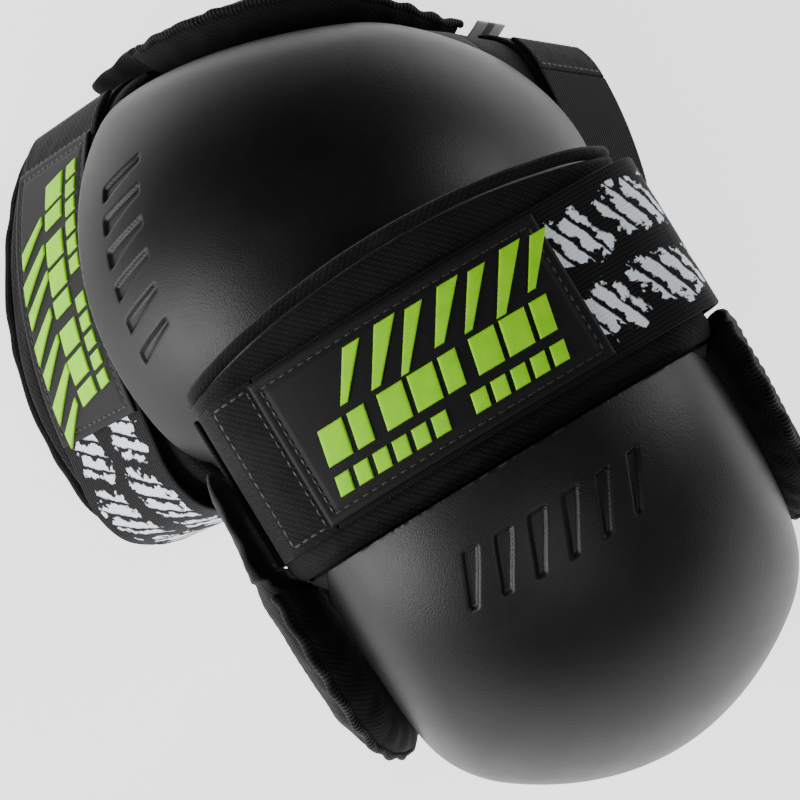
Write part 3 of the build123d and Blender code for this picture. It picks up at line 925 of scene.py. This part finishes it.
STRAPS = {
    "upper": {
        "body": "thigh", "middle": UPPER_FROM + UPPER_WIDTH / 2, "width": UPPER_WIDTH, "hinge": 85.2,
        "girth": 351.8, "end": -52.2, "tab_end": -69.7, "loop_end": -79.6, "cloth": ELASTIC, "slack": 4.0},
    "lower": {
        "body": "knee", "middle": -BEND - LOWER_FROM - LOWER_WIDTH / 2, "width": LOWER_WIDTH, "hinge": 80.0,
        "girth": 326.4, "end": -46.0, "tab_end": -61.1, "loop_end": -74.5, "cloth": PLAIN, "slack": 0.5},
}

for side in SIDES:
    for part, strap in STRAPS.items():
        surface = rebased(skin, strap["middle"])
        flap = part + "_flap"
        q = spread(-strap["width"] / 2, strap["width"] / 2, 22, STRAP_ROUND)
        a = spread(strap["hinge"], strap["girth"] - strap["hinge"], 150, STRAP_ROUND)
        grid_q, grid_a = np.meshgrid(q, a, indexing="ij")
        low = STRAP_LIFT + slack(grid_a, strap)
        made = slab(side, part + "_band_rear", surface, grid_a, grid_q, low + STRAP, low,
                    STRAP_ROUND, ELASTIC)
        fix(made, side, strap["body"], [part + "_strap_rear"])

        a = spread(strap["loop_end"], -20.0, 60, 0.5)
        made = slab(side, part + "_loop_patch", surface, a, q, 1.3, STRAP_LIFT, 0.5, LOOP)
        fix(made, side, strap["body"], [part + "_loop_panel"])

        a = spread(strap["end"], strap["hinge"] - 0.1, 120, STRAP_ROUND)
        grid_q, grid_a = np.meshgrid(q, a, indexing="ij")
        low = STRAP_LIFT + FRONT_LIFT * step((strap["hinge"] - grid_a) / 12) + slack(grid_a, strap)
        made = slab(side, part + "_band_front", surface, grid_a, grid_q, low + STRAP, low,
                    STRAP_ROUND, strap["cloth"])
        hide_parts(side + "_" + part + "_strap_front")
        before, after = [
            tuple(surface(side, strap["hinge"] + past, 0.0, 1.0).tolist()) for past in (0.5, -9.0)]
        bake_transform(made)

        a = spread(strap["tab_end"], strap["end"] - 0.1, 24, 0.9)
        made = slab(side, part + "_closing_tab", surface, a, q, 3.4, STRAP_LIFT + FRONT_LIFT, 0.9, TWILL)
        fix(made, side, flap, [part + "_hook_tab"])

# --------------------------------------
# Strap patch.  A moulded soft-rubber badge is sewn to the upper strap through a
# channel round its edge.  Its raised bars are plain, in lime green.
# --------------------------------------
PATCH_FROM, PATCH_TO = -53.7, 41.4
PATCH_HALF = 24.0
PATCH_LOW, PATCH_HIGH = 3.5, 5.1
PATCH_MARGIN = 3.0
BAR_RISE = 0.8
STITCH_PITCH = 3.2
# Half its length, half its width and half its height
STITCH = (1.3, 0.45, 0.35)
BAR_ROUND = 0.5


def rubber(tree):
    """Moulded PVC rubber: satin black with a very fine grain."""
    place_at = add(tree, "TexCoord", out="Object")
    grain = add(tree, "TexNoise", {"Vector": place_at, "Scale": 1500.0, "Detail": 4.0})
    return {
        "Base Color": add(tree, "ValToRGB", (grain,), stops=((0.3, "#070708"), (0.8, "#101012"))),
        "Roughness": 0.6, "Specular IOR Level": 0.2,
        "Normal": add(tree, "Bump", {"Height": grain, "Strength": 0.25, "Distance": 0.2 / 1000}),
    }


def green_rubber(tree):
    """The same rubber in lime green, a little cloudy."""
    place_at = add(tree, "TexCoord", out="Object")
    cloud = add(tree, "TexNoise", {"Vector": place_at, "Scale": 180.0, "Detail": 5.0})
    return {
        "Base Color": add(tree, "ValToRGB", (cloud,), stops=((0.3, "#86D800"), (0.75, "#9CE600"))),
        "Roughness": 0.55, "Specular IOR Level": 0.15,
        "Normal": add(tree, "Bump", {"Height": cloud, "Strength": 0.15, "Distance": 0.2 / 1000}),
    }


def thread(tree):
    """Bonded polyester thread, two-ply."""
    place_at = add(tree, "TexCoord", out="Object")
    ply = add(tree, "TexWave", {"Vector": place_at, "Scale": 500.0}, out="Fac", bands_direction="DIAGONAL")
    return {
        "Base Color": add(tree, "ValToRGB", (ply,), stops=((0.0, "#080809"), (1.0, "#1A1A1C"))),
        "Roughness": 0.55,
        "Normal": add(tree, "Bump", {"Height": ply, "Strength": 0.4, "Distance": 0.2 / 1000}),
    }


RUBBER = new_material("moulded_rubber", rubber)
GREEN = new_material("lime_rubber", green_rubber)
THREAD = new_material("bonded_thread", thread)


def stitches(side, name, surface, corners, off):
    """Lockstitches along a line of straight runs: each is a flat ellipsoid."""
    corners = np.asarray(corners, float)
    legs = np.diff(corners, axis=0)
    lengths = np.linalg.norm(legs, axis=1)
    places, courses = [], []
    for first, run, length in zip(corners[:-1], legs, lengths):
        count = int(round(length / STITCH_PITCH))
        places.append(first + run * (np.arange(count)[:, None] + 0.5) / count)
        courses.append(np.broadcast_to(run / length, (count, 2)))
    centre = np.concatenate(places)[:, None, None, :]
    course = np.concatenate(courses)[:, None, None, :]
    tilt = np.linspace(-math.pi / 2, math.pi / 2, 7)[None, :, None]
    turn = np.linspace(0, 2 * math.pi, 9)[None, None, :]
    long, wide, high = STITCH
    along = long * np.sin(tilt) + 0 * turn
    across = wide * np.cos(tilt) * np.cos(turn)
    up = high * np.cos(tilt) * np.sin(turn)
    a = centre[..., 0] + along * course[..., 0] - across * course[..., 1]
    q = centre[..., 1] + along * course[..., 1] + across * course[..., 0]
    grid = surface(side, a, q, off + up + 0 * a)
    uv = np.stack(np.broadcast_arrays(a, q), axis=-1)
    return piece(side, name, [(grid, uv, 1)], THREAD)


def rectangle(left, right, low, high):
    """Corners of a closed rectangle, as (a, q)."""
    return [(left, low), (right, low), (right, high), (left, high), (left, low)]


def bars(side, surface):
    """Raised bars in three plain rows: leaning strokes that taper, wide blocks, small blocks.

    Each is (left, right, low, high, lean, taper) in mm, with its top edge a quarter circle.
    """
    strokes = [
        (-40.0 + 10.2 * k, -34.4 + 10.2 * k + 1.2 * (k % 2), 4.4 - (k % 3), 18.5 + 0.8 * (k % 2),
         0.75, 0.55) for k in range(7)]
    blocks = [
        (-43.5 + 9.9 * k, -35.2 + 9.9 * k - 2.6 * (k % 3 == 1), -9.0, 1.8, 0.22, 0.0) for k in range(8)]
    small = [(-43.0 + 6.4 * k, -38.2 + 6.4 * k, -18.0, -12.0, 0.22, 0.0) for k in range(12) if k != 6]
    sheets = []
    for left, right, low, high, lean, taper in strokes + blocks + small:
        columns = spread(left, right, max(4, int(right - left)), BAR_ROUND)
        q, a = np.meshgrid(spread(low, high, 8, BAR_ROUND), columns, indexing="ij")
        inside = np.minimum.reduce([a - left, right - a, q - low, high - q])
        rise = BAR_RISE * quarter(inside / BAR_ROUND)
        centre = (left + right) / 2
        a = centre + (a - centre) * (1 - taper * (high - q) / (high - low)) + lean * (q + 3)
        uv = np.stack([a, q], axis=-1)
        sheets.append((surface(side, a, q, PATCH_HIGH - 0.1 + rise), uv, 1))
        sheets.append((surface(side, a, q, PATCH_HIGH - 0.1 + 0 * rise), uv, -1))
    return piece(side, "patch_bars", sheets, GREEN)


for side in SIDES:
    surface = rebased(skin, STRAPS["upper"]["middle"])
    a = spread(PATCH_FROM, PATCH_TO, 90, 1.2)
    q = spread(-PATCH_HALF, PATCH_HALF, 46, 1.2)
    grid_q, grid_a = np.meshgrid(q, a, indexing="ij")
    margin = np.minimum.reduce([
        grid_a - PATCH_FROM, PATCH_TO - grid_a, grid_q + PATCH_HALF, PATCH_HALF - grid_q])
    outer = PATCH_HIGH - 0.6 * step(1 - np.abs(margin - PATCH_MARGIN) / 1.1)
    made = slab(side, "strap_badge", surface, grid_a, grid_q, outer, PATCH_LOW, 1.2, RUBBER)
    fix(made, side, "upper_flap", ["upper_patch"])
    edge = PATCH_HALF - PATCH_MARGIN
    border = rectangle(PATCH_FROM + PATCH_MARGIN, PATCH_TO - PATCH_MARGIN, -edge, edge)
    for made, slot in (
        (bars(side, surface), "patch_rubber"),
        (stitches(side, "patch_stitches", surface, border, PATCH_HIGH - 0.45), "elastic"),
        (stitches(side, "upper_tab_stitches", surface, rectangle(-67.5, -55.2, -23, 23), 3.3), "elastic"),
    ):
        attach(made, side + "_upper_flap")
    surface = rebased(skin, STRAPS["lower"]["middle"])
    made = stitches(side, "lower_tab_stitches", surface, rectangle(-59.2, -48.2, -17, 17), 3.3)
    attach(made, side + "_lower_flap")

# --------------------------------------
# Size tag.  A folded satin label is caught in the seam of the lower rear strap.
# It carries only a plain printed bar.
# --------------------------------------
TAG_AT = 46.6
TAG_HEIGHT = 47.0
TAG_HALF = 7.0
TAG_CURL = 6.5


def satin(tree):
    """Woven satin label: pale grey with fine weft, and one dark bar."""
    uv = add(tree, "UVMap", uv_map="cloth")
    weft = add(tree, "TexWave", {
        "Vector": uv, "Scale": WAVE_MM / 0.7}, out="Fac", bands_direction="Y")
    across = add(tree, "SeparateXYZ", (uv,), out="Y")
    aside = add(tree, "Math", (across,), operation="ABSOLUTE")
    bar = add(tree, "Math", (aside, 0.02), operation="LESS_THAN")
    cloth = add(tree, "ValToRGB", (weft,), stops=((0.0, "#8E9094"), (1.0, "#B4B6BA")))
    values = {0: bar, 6: cloth, 7: paint("#3A3B3E")}
    return {
        "Base Color": add(tree, "Mix", values, out=2, data_type="RGBA"),
        "Roughness": 0.4, "Sheen Weight": 0.1,
        "Normal": add(tree, "Bump", {"Height": weft, "Strength": 0.3, "Distance": 0.2 / 1000}),
    }


SATIN = new_material("satin_label", satin)


def tag_surface(side, a, q, off):
    """Flat against the strap's side, curling a little away from it at the free end."""
    curl = 0.4 + TAG_CURL * np.clip((a + TAG_HALF) / (2 * TAG_HALF), 0, 1) ** 1.6
    return fold(side, -(KNEE_HALF + 2.0 + off + curl), TAG_HEIGHT + a, -BEND - TAG_AT + q)


for side in SIDES:
    a = spread(-TAG_HALF, TAG_HALF, 14, 0.3)
    q = spread(-8.0, 8.0, 16, 0.3)
    grid_q, grid_a = np.meshgrid(q, a, indexing="ij")
    made = slab(side, "satin_tag", tag_surface, grid_a, grid_q, 0.7, 0.0, 0.3, SATIN)
    fix(made, side, "knee", ["size_tag"])

# --------------------------------------
# Floor, light and camera.  A pale matt board lit from within so that it reads as
# white, three soft area lamps, and a long lens looking down from the front.
# --------------------------------------
TARGET = (0.0014, 0.0010, 0.060)
CAMERA_AWAY = 0.963
CAMERA_WAY = (-0.0364, -0.1698, 0.9848)
LENS_MM = 131.3
# Name, place in metres, width in metres, power in watts
LIGHTS = (
    ("key", (-1.2, -0.45, 0.55), 0.8, 26),
    ("strip", (1.4, 0.45, 0.7), 0.5, 9),
    ("overhead", (0.15, -1.2, 1.9), 1.0, 11),
)

bpy.ops.mesh.primitive_plane_add(size=60)
floor = bpy.context.object
floor.name = "floor"


def pale_floor(tree):
    """Smooth matt board, very slightly mottled."""
    place_at = add(tree, "TexCoord", out="Object")
    mottle = add(tree, "TexNoise", {"Vector": place_at, "Scale": 2.0, "Detail": 3.0})
    pale = add(tree, "ValToRGB", (mottle,), stops=((0.0, "#F4F4F4"), (1.0, "#F8F8F8")))
    return {"Base Color": pale, "Roughness": 0.7, "Emission Color": pale, "Emission Strength": 1.8}


floor.data.materials.append(new_material("pale_board", pale_floor))

world = bpy.data.worlds.new("studio")
bpy.context.scene.world = world
world.use_nodes = True
sky = world.node_tree.nodes["Background"]
sky.inputs["Color"].default_value = (1, 1, 1, 1)
sky.inputs["Strength"].default_value = 0.15

aim = bpy.data.objects.new("aim", None)
bpy.context.collection.objects.link(aim)
aim.location = TARGET


def pointed(name, data, at):
    """Lamp or camera at this place, looking at the aim."""
    holder = bpy.data.objects.new(name, data)
    holder.location = at
    track = holder.constraints.new("TRACK_TO")
    track.target, track.track_axis, track.up_axis = aim, "TRACK_NEGATIVE_Z", "UP_Y"
    bpy.context.collection.objects.link(holder)
    return holder


for name, at, size, power in LIGHTS:
    lamp = bpy.data.lights.new(name, "AREA")
    lamp.size, lamp.energy = size, power
    pointed(name, lamp, at)

lens = bpy.data.cameras.new("camera")
lens.lens, lens.sensor_width = LENS_MM, 36.0
spot = [part + CAMERA_AWAY * way for part, way in zip(TARGET, CAMERA_WAY)]
bpy.context.scene.camera = pointed("camera", lens, spot)
